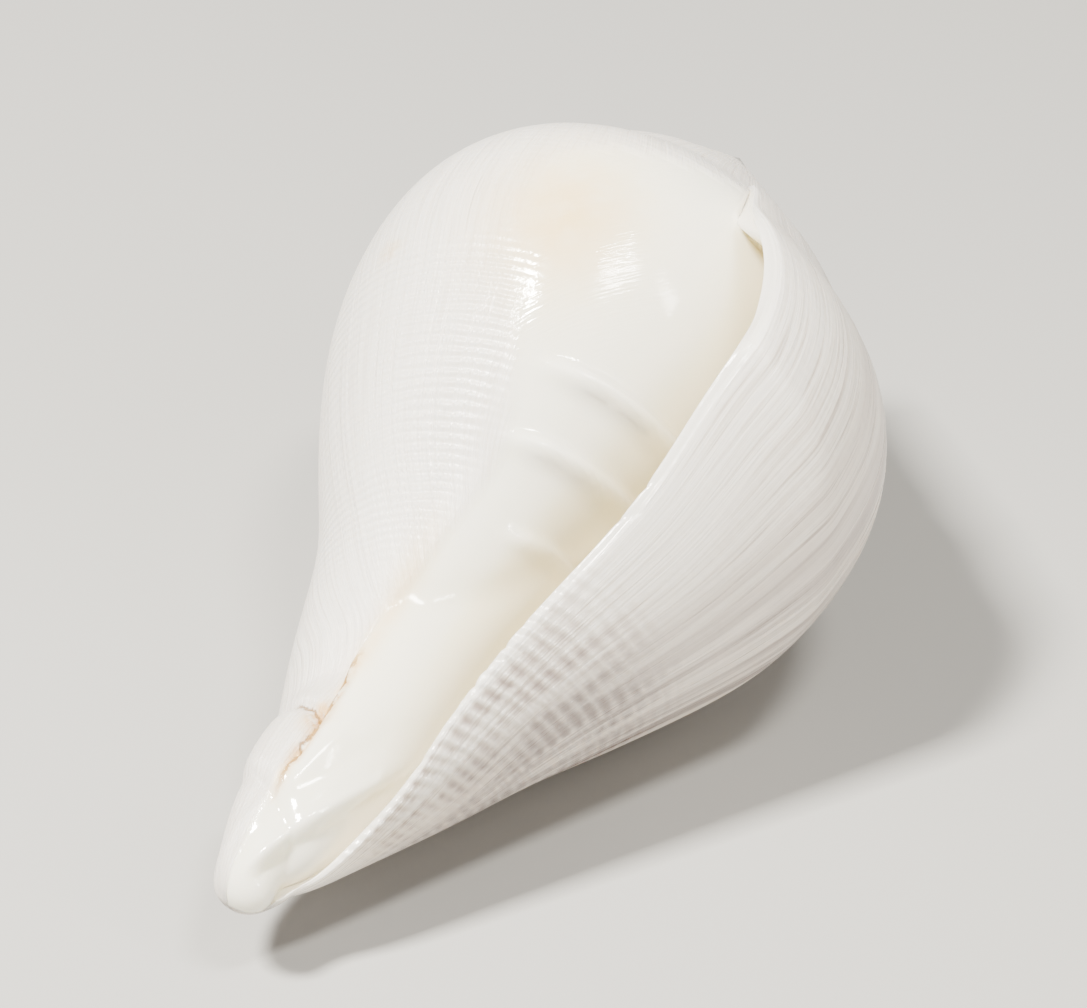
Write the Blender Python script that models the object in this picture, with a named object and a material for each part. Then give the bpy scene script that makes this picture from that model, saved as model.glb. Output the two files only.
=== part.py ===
"""A polished white chank shell, modelled at its real size as one closed solid.

The shell is first worked out standing on its canal: its coiling axis is the z axis, the canal's
tip is at height 0 and the point of the spire is at height LENGTH. Lengths are in millimetres and
angles in degrees until the mesh is made. An angle runs anticlockwise seen from the spire, and it
isn't wrapped: one turn more means one whorl further back in the animal's life. The outer lip
is the newest edge, and a point that lies "back" degrees behind it grew that much earlier.
"""
import math

import bpy
import numpy as np
from mathutils import Matrix

MM = 0.001
TURN = 360.0

# Driving dimensions of the coil
LENGTH = 120.0            # point of the spire to tip of the canal
WHORL_GROWTH = 1.53       # how much larger each whorl is than the one before it
REFERENCE_ANGLE = -60.0   # the profile below is cut at this angle, just inside the outer lip
SUTURE_DEPTH = 17.5       # depth below the spire's point of the seam between the last two whorls
SEAM_RADIUS = 29.2        # radius of the last whorl where the next one would join it
SPIRE_WHORLS = 3          # whorls modelled above the last one
HOLLOW_TURNS = 1.0        # how far the hollow follows the coil behind the lip

# Profile of the last whorl: depth below the spire's point, radius
WHORL_PROFILE = [
    (18.3, 20.7), (20.0, 22.9), (23.0, 25.8), (26.8, 29.2), (31.0, 33.9), (36.0, 37.5), (43.0, 39.8),
    (51.0, 40.2), (60.0, 38.9), (68.5, 36.2), (77.0, 32.2), (86.0, 27.0), (96.0, 21.1),
    (106.0, 17.2), (116.0, 13.9), (125.0, 10.3), (136.0, 6.5), (150.0, 3.0), (240.0, -15.0),
]
# Course of the outer lip and of every growth line: profile depth, angle
LIP_COURSE = [
    (17.5, -80.0), (26.8, -80.0), (30.0, -78.5), (35.0, -74.5), (42.0, -71.0), (55.0, -68.5),
    (68.0, -64.0), (85.0, -62.0), (95.0, -56.5), (103.0, -45.5), (111.0, -32.0), (117.0, -19.0),
    (122.0, -7.0), (126.0, -2.0), (131.0, 0.0), (140.0, 0.0), (240.0, 0.0),
]
CONE_RADIUS_AT_TIP = 2.9  # the canal's outside stays inside a cone
CONE_SLOPE = 0.54
TIP_RADIUS, TIP_HEIGHT = 5.3, 5.0     # rounding of the blunt tip on its right side
THUMB_RADIUS, THUMB_HEIGHT = 6.6, 13.0   # and on its left side, where the thumb ends
CAP_HEIGHT = 1.5          # below this height the tip is one cap with no opening


def spline(points):
    """Return a smooth function through the points, a natural cubic spline."""
    xs = np.array([point[0] for point in points])
    ys = np.array([point[1] for point in points])
    steps = np.diff(xs)
    slopes = np.diff(ys) / steps
    matrix = np.eye(len(xs))
    rhs = np.zeros(len(xs))
    for i in range(1, len(xs) - 1):
        matrix[i, i - 1:i + 2] = steps[i - 1], 2 * (steps[i - 1] + steps[i]), steps[i]
        rhs[i] = 6 * (slopes[i] - slopes[i - 1])
    bends = np.linalg.solve(matrix, rhs)

    def value(x):
        x = np.clip(x, xs[0], xs[-1])
        i = np.clip(np.searchsorted(xs, x) - 1, 0, len(steps) - 1)
        left = xs[i + 1] - x
        right = x - xs[i]
        curve = (bends[i] * left ** 3 + bends[i + 1] * right ** 3) / (6 * steps[i])
        line_left = (ys[i] / steps[i] - bends[i] * steps[i] / 6) * left
        line_right = (ys[i + 1] / steps[i] - bends[i + 1] * steps[i] / 6) * right
        return curve + line_left + line_right

    return value


SEAM_DEPTH = SUTURE_DEPTH * WHORL_GROWTH   # where the next whorl's seam lies on this one
SEAM_ANGLE = LIP_COURSE[0][1]
body_profile = spline([(SUTURE_DEPTH, SEAM_RADIUS / WHORL_GROWTH)] + WHORL_PROFILE)
lip_course = spline(LIP_COURSE)


def growth(angle):
    """Size of the coil at an angle, beside its size at the reference angle."""
    return WHORL_GROWTH ** (-(angle - REFERENCE_ANGLE) / TURN)


def wrap(angle, start):
    """Bring an angle into the turn that begins at start."""
    return (angle - start) % TURN + start


def smooth_step(x, low, high):
    share = np.clip((x - low) / (high - low), 0.0, 1.0)
    return share * share * (3.0 - 2.0 * share)


def smooth_max(a, b, blend):
    mix = np.clip(0.5 + 0.5 * (a - b) / blend, 0.0, 1.0)
    return b + (a - b) * mix + blend * mix * (1.0 - mix)


def smooth_min(a, b, blend):
    return -smooth_max(-a, -b, blend)


def bump(x, width):
    return np.exp(-(x / width) ** 2)


# Columella, the pillar that the shell coils around: height, radius
PILLAR_LEFT = [(0.0, 4.6), (5.0, 5.8), (12.0, 7.0), (20.0, 7.8), (30.0, 8.4), (40.0, 8.6),
               (50.0, 8.0), (60.0, 7.0), (80.0, 4.0), (120.0, 0.5)]
PILLAR_RIGHT = [(0.0, 4.9), (5.0, 6.1), (12.0, 7.9), (17.0, 8.5), (25.0, 9.1), (35.0, 9.5),
                (45.0, 10.2), (52.0, 11.2), (60.0, 11.8), (70.0, 9.5), (90.0, 4.5), (120.0, 0.5)]
left_of_pillar = spline(PILLAR_LEFT)
right_of_pillar = spline(PILLAR_RIGHT)
# Siphonal fasciole, the thumb-like end left by older canals: height, radius
THUMB = [(0.0, 0.8), (2.0, 2.6), (5.0, 4.2), (8.5, 5.5), (13.5, 6.9), (19.0, 7.4),
         (22.0, 7.1), (26.0, 6.2), (32.0, 4.0), (45.0, 0.0), (120.0, 0.0)]
thumb_profile = spline(THUMB)
CHINK_ANGLE = -115.0      # groove between the pillar's glaze and the thumb
CHINK_LOW, CHINK_HIGH = 13.0, 29.0
CHINK_DEPTH = 1.3
CHINK_WIDTH = 7.0         # degrees
GLAZE_STEP = 2.6          # how far the pillar's glaze stands above what lies left of it
# Crack across the top of the thumb: degrees round from the chink, height
CRACK_LINE = [(0.0, 21.0), (26.0, 22.3), (57.0, 22.2), (91.0, 20.5), (131.0, 15.0),
              (160.0, 11.0), (200.0, 5.0), (240.0, 1.0), (360.0, -9.0)]
crack_line = spline(CRACK_LINE)
CRACK_DEPTH = 0.9
CRACK_WIDTH = 0.9
RIM_START, RIM_TURN = 254.0, 3.2   # the canal's rim: angle at the tip, degrees per mm up
RIM_HEIGHT = 0.35
CANAL_DEPTH = 1.4         # of the open gutter between its rim and the lip
GROOVE_DEPTH = 0.4        # of the shallow groove on the rim's other side
# Folds on the pillar: profile depth, angle where each starts, height of the ridge
FOLD_WIDTH = 1.5
FOLDS = [(80.3, 252.0, 2.0), (91.5, 252.0, 1.8), (105.3, 275.0, 0.9)]


def outside_radius(angle, height):
    """Distance from the axis to the shell's outer surface below the seam."""
    size = growth(angle)
    depth = (LENGTH - height) / size
    body = body_profile(depth) * size
    body = smooth_min(body, CONE_RADIUS_AT_TIP + CONE_SLOPE * height, 1.0)

    left_of_chink = CHINK_ANGLE - wrap(angle, CHINK_ANGLE - 180.0)
    facing = wrap(angle, -180.0)
    right = smooth_step(facing, -90.0, -20.0) * (1.0 - smooth_step(facing, 60.0, 140.0))
    pillar = left_of_pillar(height) * (1.0 - right) + right_of_pillar(height) * right
    sharp = smooth_step(height, 7.0, 14.0)
    step = smooth_step(left_of_chink, 0.0, 60.0 - 51.0 * sharp)
    step = step * (1.0 - smooth_step(left_of_chink, 70.0, 120.0))
    pillar = pillar - GLAZE_STEP * step * (0.7 + 0.3 * sharp)

    radius = smooth_max(body, pillar, 0.8)
    radius = smooth_max(radius, thumb_profile(height), 0.8)
    round_from_chink = wrap(CHINK_ANGLE - angle, 0.0)
    from_crack = height - crack_line(round_from_chink)
    crack = CRACK_DEPTH * (1.0 - smooth_step(round_from_chink, 60.0, 230.0))
    radius = radius - crack * bump(from_crack, CRACK_WIDTH)
    chink = smooth_step(height, CHINK_LOW, 17.0) * (1.0 - smooth_step(height, 25.0, CHINK_HIGH))
    radius = radius - CHINK_DEPTH * chink * bump(left_of_chink, CHINK_WIDTH)
    for fold_depth, start, ridge in FOLDS:
        along = smooth_step(angle, start, start + 25.0)
        radius = radius + ridge * along * bump((depth - fold_depth) * size, FOLD_WIDTH)

    radius = smooth_min(radius, CONE_RADIUS_AT_TIP + CONE_SLOPE * height, 0.6)
    leftward = 0.5 - 0.5 * np.cos(np.radians(angle))
    blunt = TIP_HEIGHT + (THUMB_HEIGHT - TIP_HEIGHT) * leftward
    from_end = np.clip(1.0 - height / blunt, 0.0, 1.0)
    rounding = (TIP_RADIUS + (THUMB_RADIUS - TIP_RADIUS) * leftward) * np.sqrt(1.0 - from_end ** 2)
    rounding = rounding + np.maximum(height - blunt, 0.0)
    radius = smooth_min(radius, rounding, 2.0)

    past_rim = angle - (RIM_START + RIM_TURN * height)
    canal = smooth_step(height, CAP_HEIGHT, 5.0) * (1.0 - smooth_step(height, 17.0, 30.0))
    behind_lip = angle - TURN - lip_course(depth * WHORL_GROWTH ** -1)
    gutter = smooth_step(past_rim, 2.0, 26.0) * (1.0 - smooth_step(behind_lip, 5.0, 50.0))
    radius = radius + RIM_HEIGHT * canal * bump(past_rim, 5.0) - CANAL_DEPTH * canal * gutter
    radius = radius - GROOVE_DEPTH * canal * bump(past_rim + 28.0, 14.0)
    return np.maximum(radius, 0.0)


# How finely the surface is divided
COLUMNS = 36              # growth lines in one turn of the coil
SPIRE_ROWS = 5            # rows of each spire whorl, seam to seam
RIM_ROWS = 4              # rows across the lip's thickness
BODY_ROWS = 54            # rows from the hollow's upper corner down to the tip's cap
CAP_ROWS = 3
HOLLOW_LOOPS = 14
ROW_CROWDING = 0.9       # below 1, rows lie closer together toward the canal
SAMPLES = 600             # points along one growth line while it is worked out

# Wall of the last whorl
LIP_THICKNESS = 1.0
SHOULDER_THICKNESS = 3.0  # the lip is thicker beside the seam
SHOULDER_REACH = 10.0     # and has its own thickness this far below it
WALL_THICKNESS = 3.4      # well behind the lip
THICKENING = 60.0         # degrees behind the lip by which the wall has its full thickness
LIP_ROUNDING = 0.25       # bulge of the lip's edge, as a share of its thickness
CLEARANCE = 0.6           # the hollow ends where its walls come this close
END_CROWDING = 6.0        # rows that reach past the hollow's ends are crowded into this height


def growth_line(back):
    """Work out one growth line: profile depth, angle, height and radius along it."""
    depth = np.linspace(SUTURE_DEPTH, 2.0 * LENGTH, SAMPLES)
    angle = lip_course(depth) + back
    height = LENGTH - depth * growth(angle)
    free = body_profile(depth) * growth(angle)
    radius = np.where(depth < SEAM_DEPTH, free, outside_radius(angle, height))
    shown = height > 0.0
    return depth[shown], angle[shown], height[shown], radius[shown]


def seam_rows(back):
    """Place the rows between two seams: height, angle, radius."""
    depth = np.linspace(SUTURE_DEPTH, SEAM_DEPTH, SPIRE_ROWS + 1)
    angle = np.full(len(depth), SEAM_ANGLE + back)
    return LENGTH - depth * growth(angle), angle, body_profile(depth) * growth(angle)


def wall_thickness(depth, height, back):
    """Thickness of the whorl's wall at a place on a growth line."""
    beside_seam = 1.0 - smooth_step(depth, SEAM_DEPTH, SEAM_DEPTH + SHOULDER_REACH)
    lip = LIP_THICKNESS + (SHOULDER_THICKNESS - LIP_THICKNESS) * beside_seam
    full = WALL_THICKNESS * growth(back)
    thickness = lip + (full - lip) * smooth_step(back, 0.0, THICKENING)
    return thickness * smooth_step(height, 0.0, 14.0)


def hollow_wall(back):
    """Work out the inner side of the whorl's wall: profile depth, angle, height, radius."""
    depth, angle, height, radius = growth_line(back)
    rise = np.gradient(height)
    spread = np.gradient(radius)
    inward = wall_thickness(depth, height, back) / np.hypot(rise, spread)
    inner_height = height - inward * spread
    inner_radius = radius + inward * rise
    gap = inner_radius - outside_radius(angle + TURN, inner_height)
    middle = int(np.argmax(gap))
    first = np.nonzero(gap[:middle] < CLEARANCE)[0][-1] + 1
    last = middle + np.nonzero(gap[middle:] < CLEARANCE)[0][0]
    return depth[first:last], angle[first:last], inner_height[first:last], inner_radius[first:last]


def last_whorl_column(back, corner_drop):
    """Place one column of the last whorl's outside, seam to tip: height, angle, radius."""
    height, angle, radius = seam_rows(back)
    seam = height[-1]
    corner = seam - corner_drop * growth(back - TURN)
    share = np.linspace(0.0, 1.0, BODY_ROWS + 1) ** ROW_CROWDING
    turn = np.linspace(0.0, 0.5 * math.pi, CAP_ROWS + 1)
    below = np.concatenate([
        np.linspace(seam, corner, RIM_ROWS + 1)[1:],
        (corner + (CAP_HEIGHT - corner) * share)[1:],
        (CAP_HEIGHT * (1.0 - np.sin(turn)))[1:],
    ])
    # Every column has the outline of the lip's edge, so that the last one lies straight under it
    outline = growth_line(0.0)
    course = lip_course(np.interp(below, outline[2][::-1], outline[0][::-1])) + back
    return (np.append(height, below), np.append(angle, course),
            np.append(radius, outside_radius(course, below)))


class Skin:
    """The points and faces of the shell as they are laid down."""

    def __init__(self):
        self.points = []
        self.faces = []

    def add(self, height, angle, radius):
        """Add points given by height, angle and radius and return their numbers."""
        turned = np.radians(angle)
        first = len(self.points)
        places = np.stack([radius * np.cos(turned), radius * np.sin(turned), height], axis=-1)
        self.points.extend(places.reshape(-1, 3).tolist())
        return np.arange(first, len(self.points))

    def sheet(self, grid):
        """Join a grid of point numbers with faces. Rows run down, columns anticlockwise."""
        for upper, lower in zip(grid[:-1], grid[1:]):
            for a, b, c, d in zip(upper[:-1], lower[:-1], lower[1:], upper[1:]):
                self.face([a, b, c, d])

    def face(self, corners):
        """Add one face, leaving out a corner that repeats the one before it."""
        kept = [int(c) for c, before in zip(corners, [corners[-1]] + corners[:-1]) if c != before]
        if len(kept) > 2:
            self.faces.append(kept)


def build_skin():
    """Lay down the whole surface: last whorl, spire, lip and hollow."""
    skin = Skin()
    seam = SPIRE_ROWS
    corner = seam + RIM_ROWS
    cap = corner + BODY_ROWS
    step = TURN / COLUMNS

    depth, angle, height, radius = hollow_wall(0.0)
    corner_drop = seam_rows(TURN)[0][-1] - height[0]

    # Outside of the last whorl. Its first column is the lip's edge, and the last one lies under it.
    outside = np.zeros((cap + CAP_ROWS + 1, COLUMNS + 1), dtype=int)
    edge = last_whorl_column(0.0, corner_drop)
    for column in range(COLUMNS, -1, -1):
        places = last_whorl_column(column * step, corner_drop)
        outside[:, column] = skin.add(*places)
    outside[seam, COLUMNS] = outside[0, 0]
    outside[cap:, 0] = outside[cap:, COLUMNS]
    outside[-1, :] = outside[-1, COLUMNS]
    skin.sheet(outside)

    # Spire. Each column ends on the seam that the whorl below it began with.
    columns = COLUMNS * SPIRE_WHORLS
    spire = np.zeros((seam + 1, columns + 1), dtype=int)
    spire[:, 0] = outside[:seam + 1, COLUMNS]
    for column in range(1, columns + 1):
        places = seam_rows(TURN + column * step)
        spire[:, column] = skin.add(*places)
        spire[seam, column] = outside[0, column] if column <= COLUMNS else spire[0, column - COLUMNS]
    skin.sheet(spire)
    top = skin.add(np.array([LENGTH]), np.array([0.0]), np.array([0.0]))[0]
    last_turn = list(spire[0, columns - COLUMNS:]) + list(spire[1:, columns])
    for left, right in zip(last_turn[:-1], last_turn[1:]):
        skin.face([top, left, right])

    # Edge of the lip, rounded from the outside to the inner side of the wall.
    edge_height, edge_angle, edge_radius = (values[:cap + 1] for values in edge)
    edge_depth = (LENGTH - edge_height) / growth(edge_angle)
    share = (edge_depth - edge_depth[0]) / (edge_depth[-1] - edge_depth[0])
    inner_depth = depth[0] + (depth[-1] - depth[0]) * share
    inner = [np.interp(inner_depth, depth, values) for values in (height, angle, radius)]
    lip = np.zeros((cap + 1, RIM_ROWS + 1), dtype=int)
    lip[:, 0] = outside[:cap + 1, 0]
    for k in range(1, RIM_ROWS + 1):
        part = k / RIM_ROWS
        across = np.hypot(edge_height - inner[0], edge_radius - inner[2])
        bulge = LIP_ROUNDING * across * math.sin(math.pi * part) * smooth_step(share, 0.0, 0.2)
        rounded = (edge_angle + (inner[1] - edge_angle) * part
                   - np.degrees(bulge / np.maximum(edge_radius, 1.0)))
        lip[:, k] = skin.add(edge_height + (inner[0] - edge_height) * part, rounded,
                             edge_radius + (inner[2] - edge_radius) * part)
        lip[0, k] = outside[seam + k, COLUMNS]
        lip[cap, k] = outside[cap, COLUMNS]
    skin.sheet(lip[:, ::-1])

    # Hollow: closed loops down the inner side of the wall and back up the pillar.
    loop = list(lip[:, RIM_ROWS]) + list(outside[cap - 1:corner:-1, COLUMNS])
    pillar_heights = last_whorl_column(TURN, corner_drop)[0][cap - 1:corner:-1]
    rise = np.linspace(0.0, 1.0, len(pillar_heights) + 2)[1:-1]
    loops = [loop]
    for back in np.linspace(0.0, TURN * HOLLOW_TURNS, HOLLOW_LOOPS + 1)[1:]:
        depth, angle, height, radius = hollow_wall(back)
        wall_depth = depth[0] + (depth[-1] - depth[0]) * share
        wall = [np.interp(wall_depth, depth, values) for values in (height, angle, radius)]
        up = np.maximum(pillar_heights, height[-1] + END_CROWDING * rise)
        up = np.minimum(up, height[0] - END_CROWDING * (1.0 - rise))
        course = np.interp(up, height[::-1], angle[::-1])
        pillar = outside_radius(course + TURN, up)
        loops.append(list(skin.add(*wall)) + list(skin.add(up, course, pillar)))
    grid = np.array(loops[::-1]).T
    skin.sheet(np.vstack([grid, grid[:1]]))
    centre = np.mean([skin.points[i] for i in loops[-1]], axis=0)
    skin.points.append(centre.tolist())
    end = len(skin.points) - 1
    for a, b in zip(loops[-1], loops[-1][1:] + loops[-1][:1]):
        skin.face([end, b, a])
    return skin


# How the shell lies: on the back of its last whorl and the canal's tip, with its opening up
REST_SIDE = 66.0          # angle of the side that faces down
REST_DIP = 17.0           # how far the axis is turned from level, the canal's tip down
WEAR_DEPTH = 0.6          # it is worn flat this deep where it touches the table

SHELL_COLOUR = (0.83, 0.78, 0.69)
SHELL_ROUGHNESS = 0.28
CREASE_ANGLE = 50.0


def lay_down(points):
    """Turn the standing shell to its resting place and wear it flat there. Metres."""
    turn = Matrix.Rotation(math.radians(REST_DIP - 90.0), 3, "X")
    turn = turn @ Matrix.Rotation(math.radians(90.0 - REST_SIDE), 3, "Z")
    placed = np.array(points) @ np.array(turn).T
    low = placed.min(axis=0)
    high = placed.max(axis=0)
    floor = low[2] + WEAR_DEPTH
    placed[:, 2] = np.maximum(placed[:, 2], floor)
    placed = placed - np.array([0.5 * (low[0] + high[0]), 0.5 * (low[1] + high[1]), floor])
    return placed * MM


def shell_material():
    """Make the polished porcelain-white surface of the cleaned shell."""
    material = bpy.data.materials.new("polished_shell")
    material.use_nodes = True
    surface = material.node_tree.nodes["Principled BSDF"]
    surface.inputs["Base Color"].default_value = (*SHELL_COLOUR, 1.0)
    surface.inputs["Roughness"].default_value = SHELL_ROUGHNESS
    surface.inputs["Metallic"].default_value = 0.0
    material.diffuse_color = (*SHELL_COLOUR, 1.0)
    return material


def main():
    """Clear the scene and build the shell in a collection of its own."""
    for item in list(bpy.data.objects):
        bpy.data.objects.remove(item, do_unlink=True)
    collection = bpy.data.collections.new("conch_shell")
    bpy.context.scene.collection.children.link(collection)

    skin = build_skin()
    mesh = bpy.data.meshes.new("shell")
    mesh.from_pydata(lay_down(skin.points).tolist(), [], skin.faces)
    mesh.update()
    mesh.shade_smooth()
    mesh.set_sharp_from_angle(angle=math.radians(CREASE_ANGLE))
    mesh.materials.append(shell_material())
    shell = bpy.data.objects.new("shell", mesh)
    collection.objects.link(shell)


if __name__ == "__main__":
    main()
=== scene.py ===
"""A polished white chank shell dressed for a studio picture.

The shell is rebuilt here at a fine resolution from the same named sizes as its solid, and gets the
surface of cleaned and hand-polished aragonite. It is worked out standing on its canal: its coiling
axis is the z axis, the canal's tip is at height 0 and the point of the spire is at height LENGTH.
Lengths are in millimetres and angles in degrees until the mesh is made. An angle runs
anticlockwise seen from the spire and isn't wrapped: one turn more means one whorl further back in
the animal's life. The outer lip is the newest edge, and a point that lies "back" degrees behind it
grew that much earlier.
"""
import math

import bpy
import numpy as np
from mathutils import Matrix, Vector


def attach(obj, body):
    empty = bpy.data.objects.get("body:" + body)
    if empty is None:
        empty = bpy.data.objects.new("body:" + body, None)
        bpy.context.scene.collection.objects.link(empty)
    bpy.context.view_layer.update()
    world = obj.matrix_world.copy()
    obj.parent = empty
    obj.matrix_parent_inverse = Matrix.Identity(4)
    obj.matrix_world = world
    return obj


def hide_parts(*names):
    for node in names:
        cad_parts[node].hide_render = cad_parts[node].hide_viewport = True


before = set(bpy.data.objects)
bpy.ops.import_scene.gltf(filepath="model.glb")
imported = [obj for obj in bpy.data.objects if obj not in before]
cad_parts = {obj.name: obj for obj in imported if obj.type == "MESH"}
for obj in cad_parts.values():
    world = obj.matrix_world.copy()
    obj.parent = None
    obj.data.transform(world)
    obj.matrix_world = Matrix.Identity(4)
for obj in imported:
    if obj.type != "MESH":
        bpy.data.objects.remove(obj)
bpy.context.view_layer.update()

bl_info = {
    "name": "Chank Shell",
    "version": (1, 0, 0),
    "blender": (4, 5, 0),
    "location": "View3D > Sidebar > Chank Shell",
    "description": "Builds a polished white chank shell on a plain studio floor",
    "category": "Add Mesh",
}

MM = 0.001
TURN = 360.0

# Driving dimensions of the coil
LENGTH = 120.0            # point of the spire to tip of the canal
WHORL_GROWTH = 1.53       # how much larger each whorl is than the one before it
REFERENCE_ANGLE = -60.0   # the profile below is cut at this angle, just inside the outer lip
SUTURE_DEPTH = 17.5       # depth below the spire's point of the seam between the last two whorls
SEAM_RADIUS = 29.2        # radius of the last whorl where the next one would join it
SPIRE_WHORLS = 3          # whorls modelled above the last one
HOLLOW_TURNS = 1.0        # how far the hollow follows the coil behind the lip

# Profile of the last whorl: depth below the spire's point, radius
WHORL_PROFILE = [
    (18.3, 20.7), (20.0, 22.9), (23.0, 25.8), (26.8, 29.2), (31.0, 33.9), (36.0, 37.5), (43.0, 39.8),
    (51.0, 40.2), (60.0, 38.9), (68.5, 36.2), (77.0, 32.2), (86.0, 27.0), (96.0, 21.1),
    (106.0, 17.2), (116.0, 13.9), (125.0, 10.3), (136.0, 6.5), (150.0, 3.0), (240.0, -15.0),
]
# Course of the outer lip and of every growth line: profile depth, angle
LIP_COURSE = [
    (17.5, -80.0), (26.8, -80.0), (30.0, -78.5), (35.0, -74.5), (42.0, -71.0), (55.0, -68.5),
    (68.0, -64.0), (85.0, -62.0), (95.0, -56.5), (103.0, -45.5), (111.0, -32.0), (117.0, -19.0),
    (122.0, -7.0), (126.0, -2.0), (131.0, 0.0), (140.0, 0.0), (240.0, 0.0),
]
CONE_RADIUS_AT_TIP = 2.9  # the canal's outside stays inside a cone
CONE_SLOPE = 0.54
TIP_RADIUS, TIP_HEIGHT = 5.3, 5.0     # rounding of the blunt tip on its right side
THUMB_RADIUS, THUMB_HEIGHT = 6.6, 13.0   # and on its left side, where the thumb ends
CAP_HEIGHT = 1.5          # below this height the tip is one cap with no opening


def spline(points):
    """Return a smooth function through the points, a natural cubic spline."""
    xs = np.array([point[0] for point in points])
    ys = np.array([point[1] for point in points])
    steps = np.diff(xs)
    slopes = np.diff(ys) / steps
    matrix = np.eye(len(xs))
    rhs = np.zeros(len(xs))
    for i in range(1, len(xs) - 1):
        matrix[i, i - 1:i + 2] = steps[i - 1], 2 * (steps[i - 1] + steps[i]), steps[i]
        rhs[i] = 6 * (slopes[i] - slopes[i - 1])
    bends = np.linalg.solve(matrix, rhs)

    def value(x):
        x = np.clip(x, xs[0], xs[-1])
        i = np.clip(np.searchsorted(xs, x) - 1, 0, len(steps) - 1)
        left = xs[i + 1] - x
        right = x - xs[i]
        curve = (bends[i] * left ** 3 + bends[i + 1] * right ** 3) / (6 * steps[i])
        line_left = (ys[i] / steps[i] - bends[i] * steps[i] / 6) * left
        line_right = (ys[i + 1] / steps[i] - bends[i + 1] * steps[i] / 6) * right
        return curve + line_left + line_right

    return value


SEAM_DEPTH = SUTURE_DEPTH * WHORL_GROWTH   # where the next whorl's seam lies on this one
SEAM_ANGLE = LIP_COURSE[0][1]
body_profile = spline([(SUTURE_DEPTH, SEAM_RADIUS / WHORL_GROWTH)] + WHORL_PROFILE)
lip_course = spline(LIP_COURSE)


def growth(angle):
    """Size of the coil at an angle, beside its size at the reference angle."""
    return WHORL_GROWTH ** (-(angle - REFERENCE_ANGLE) / TURN)


def wrap(angle, start):
    """Bring an angle into the turn that begins at start."""
    return (angle - start) % TURN + start


def smooth_step(x, low, high):
    share = np.clip((x - low) / (high - low), 0.0, 1.0)
    return share * share * (3.0 - 2.0 * share)


def smooth_max(a, b, blend):
    mix = np.clip(0.5 + 0.5 * (a - b) / blend, 0.0, 1.0)
    return b + (a - b) * mix + blend * mix * (1.0 - mix)


def smooth_min(a, b, blend):
    return -smooth_max(-a, -b, blend)


def bump(x, width):
    return np.exp(-(x / width) ** 2)


# Columella, the pillar that the shell coils around: height, radius
PILLAR_LEFT = [(0.0, 4.6), (5.0, 5.8), (12.0, 7.0), (20.0, 7.8), (30.0, 8.4), (40.0, 8.6),
               (50.0, 8.0), (60.0, 7.0), (80.0, 4.0), (120.0, 0.5)]
PILLAR_RIGHT = [(0.0, 4.9), (5.0, 6.1), (12.0, 7.9), (17.0, 8.5), (25.0, 9.1), (35.0, 9.5),
                (45.0, 10.2), (52.0, 11.2), (60.0, 11.8), (70.0, 9.5), (90.0, 4.5), (120.0, 0.5)]
left_of_pillar = spline(PILLAR_LEFT)
right_of_pillar = spline(PILLAR_RIGHT)
# Siphonal fasciole, the thumb-like end left by older canals: height, radius
THUMB = [(0.0, 0.8), (2.0, 2.6), (5.0, 4.2), (8.5, 5.5), (13.5, 6.9), (19.0, 7.4),
         (22.0, 7.1), (26.0, 6.2), (32.0, 4.0), (45.0, 0.0), (120.0, 0.0)]
thumb_profile = spline(THUMB)
CHINK_ANGLE = -115.0      # groove between the pillar's glaze and the thumb
CHINK_LOW, CHINK_HIGH = 13.0, 29.0
CHINK_DEPTH = 1.3
CHINK_WIDTH = 7.0         # degrees
GLAZE_STEP = 2.6          # how far the pillar's glaze stands above what lies left of it
# Crack across the top of the thumb: degrees round from the chink, height
CRACK_LINE = [(0.0, 21.0), (26.0, 22.3), (57.0, 22.2), (91.0, 20.5), (131.0, 15.0),
              (160.0, 11.0), (200.0, 5.0), (240.0, 1.0), (360.0, -9.0)]
crack_line = spline(CRACK_LINE)
CRACK_DEPTH = 0.9
CRACK_WIDTH = 0.9
RIM_START, RIM_TURN = 254.0, 3.2   # the canal's rim: angle at the tip, degrees per mm up
RIM_HEIGHT = 0.35
CANAL_DEPTH = 1.4         # of the open gutter between its rim and the lip
GROOVE_DEPTH = 0.4        # of the shallow groove on the rim's other side
# Folds on the pillar: profile depth, angle where each starts, height of the ridge
FOLD_WIDTH = 1.0
FOLDS = [(80.3, 252.0, 2.0), (91.5, 252.0, 1.8), (105.3, 275.0, 0.9)]


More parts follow.
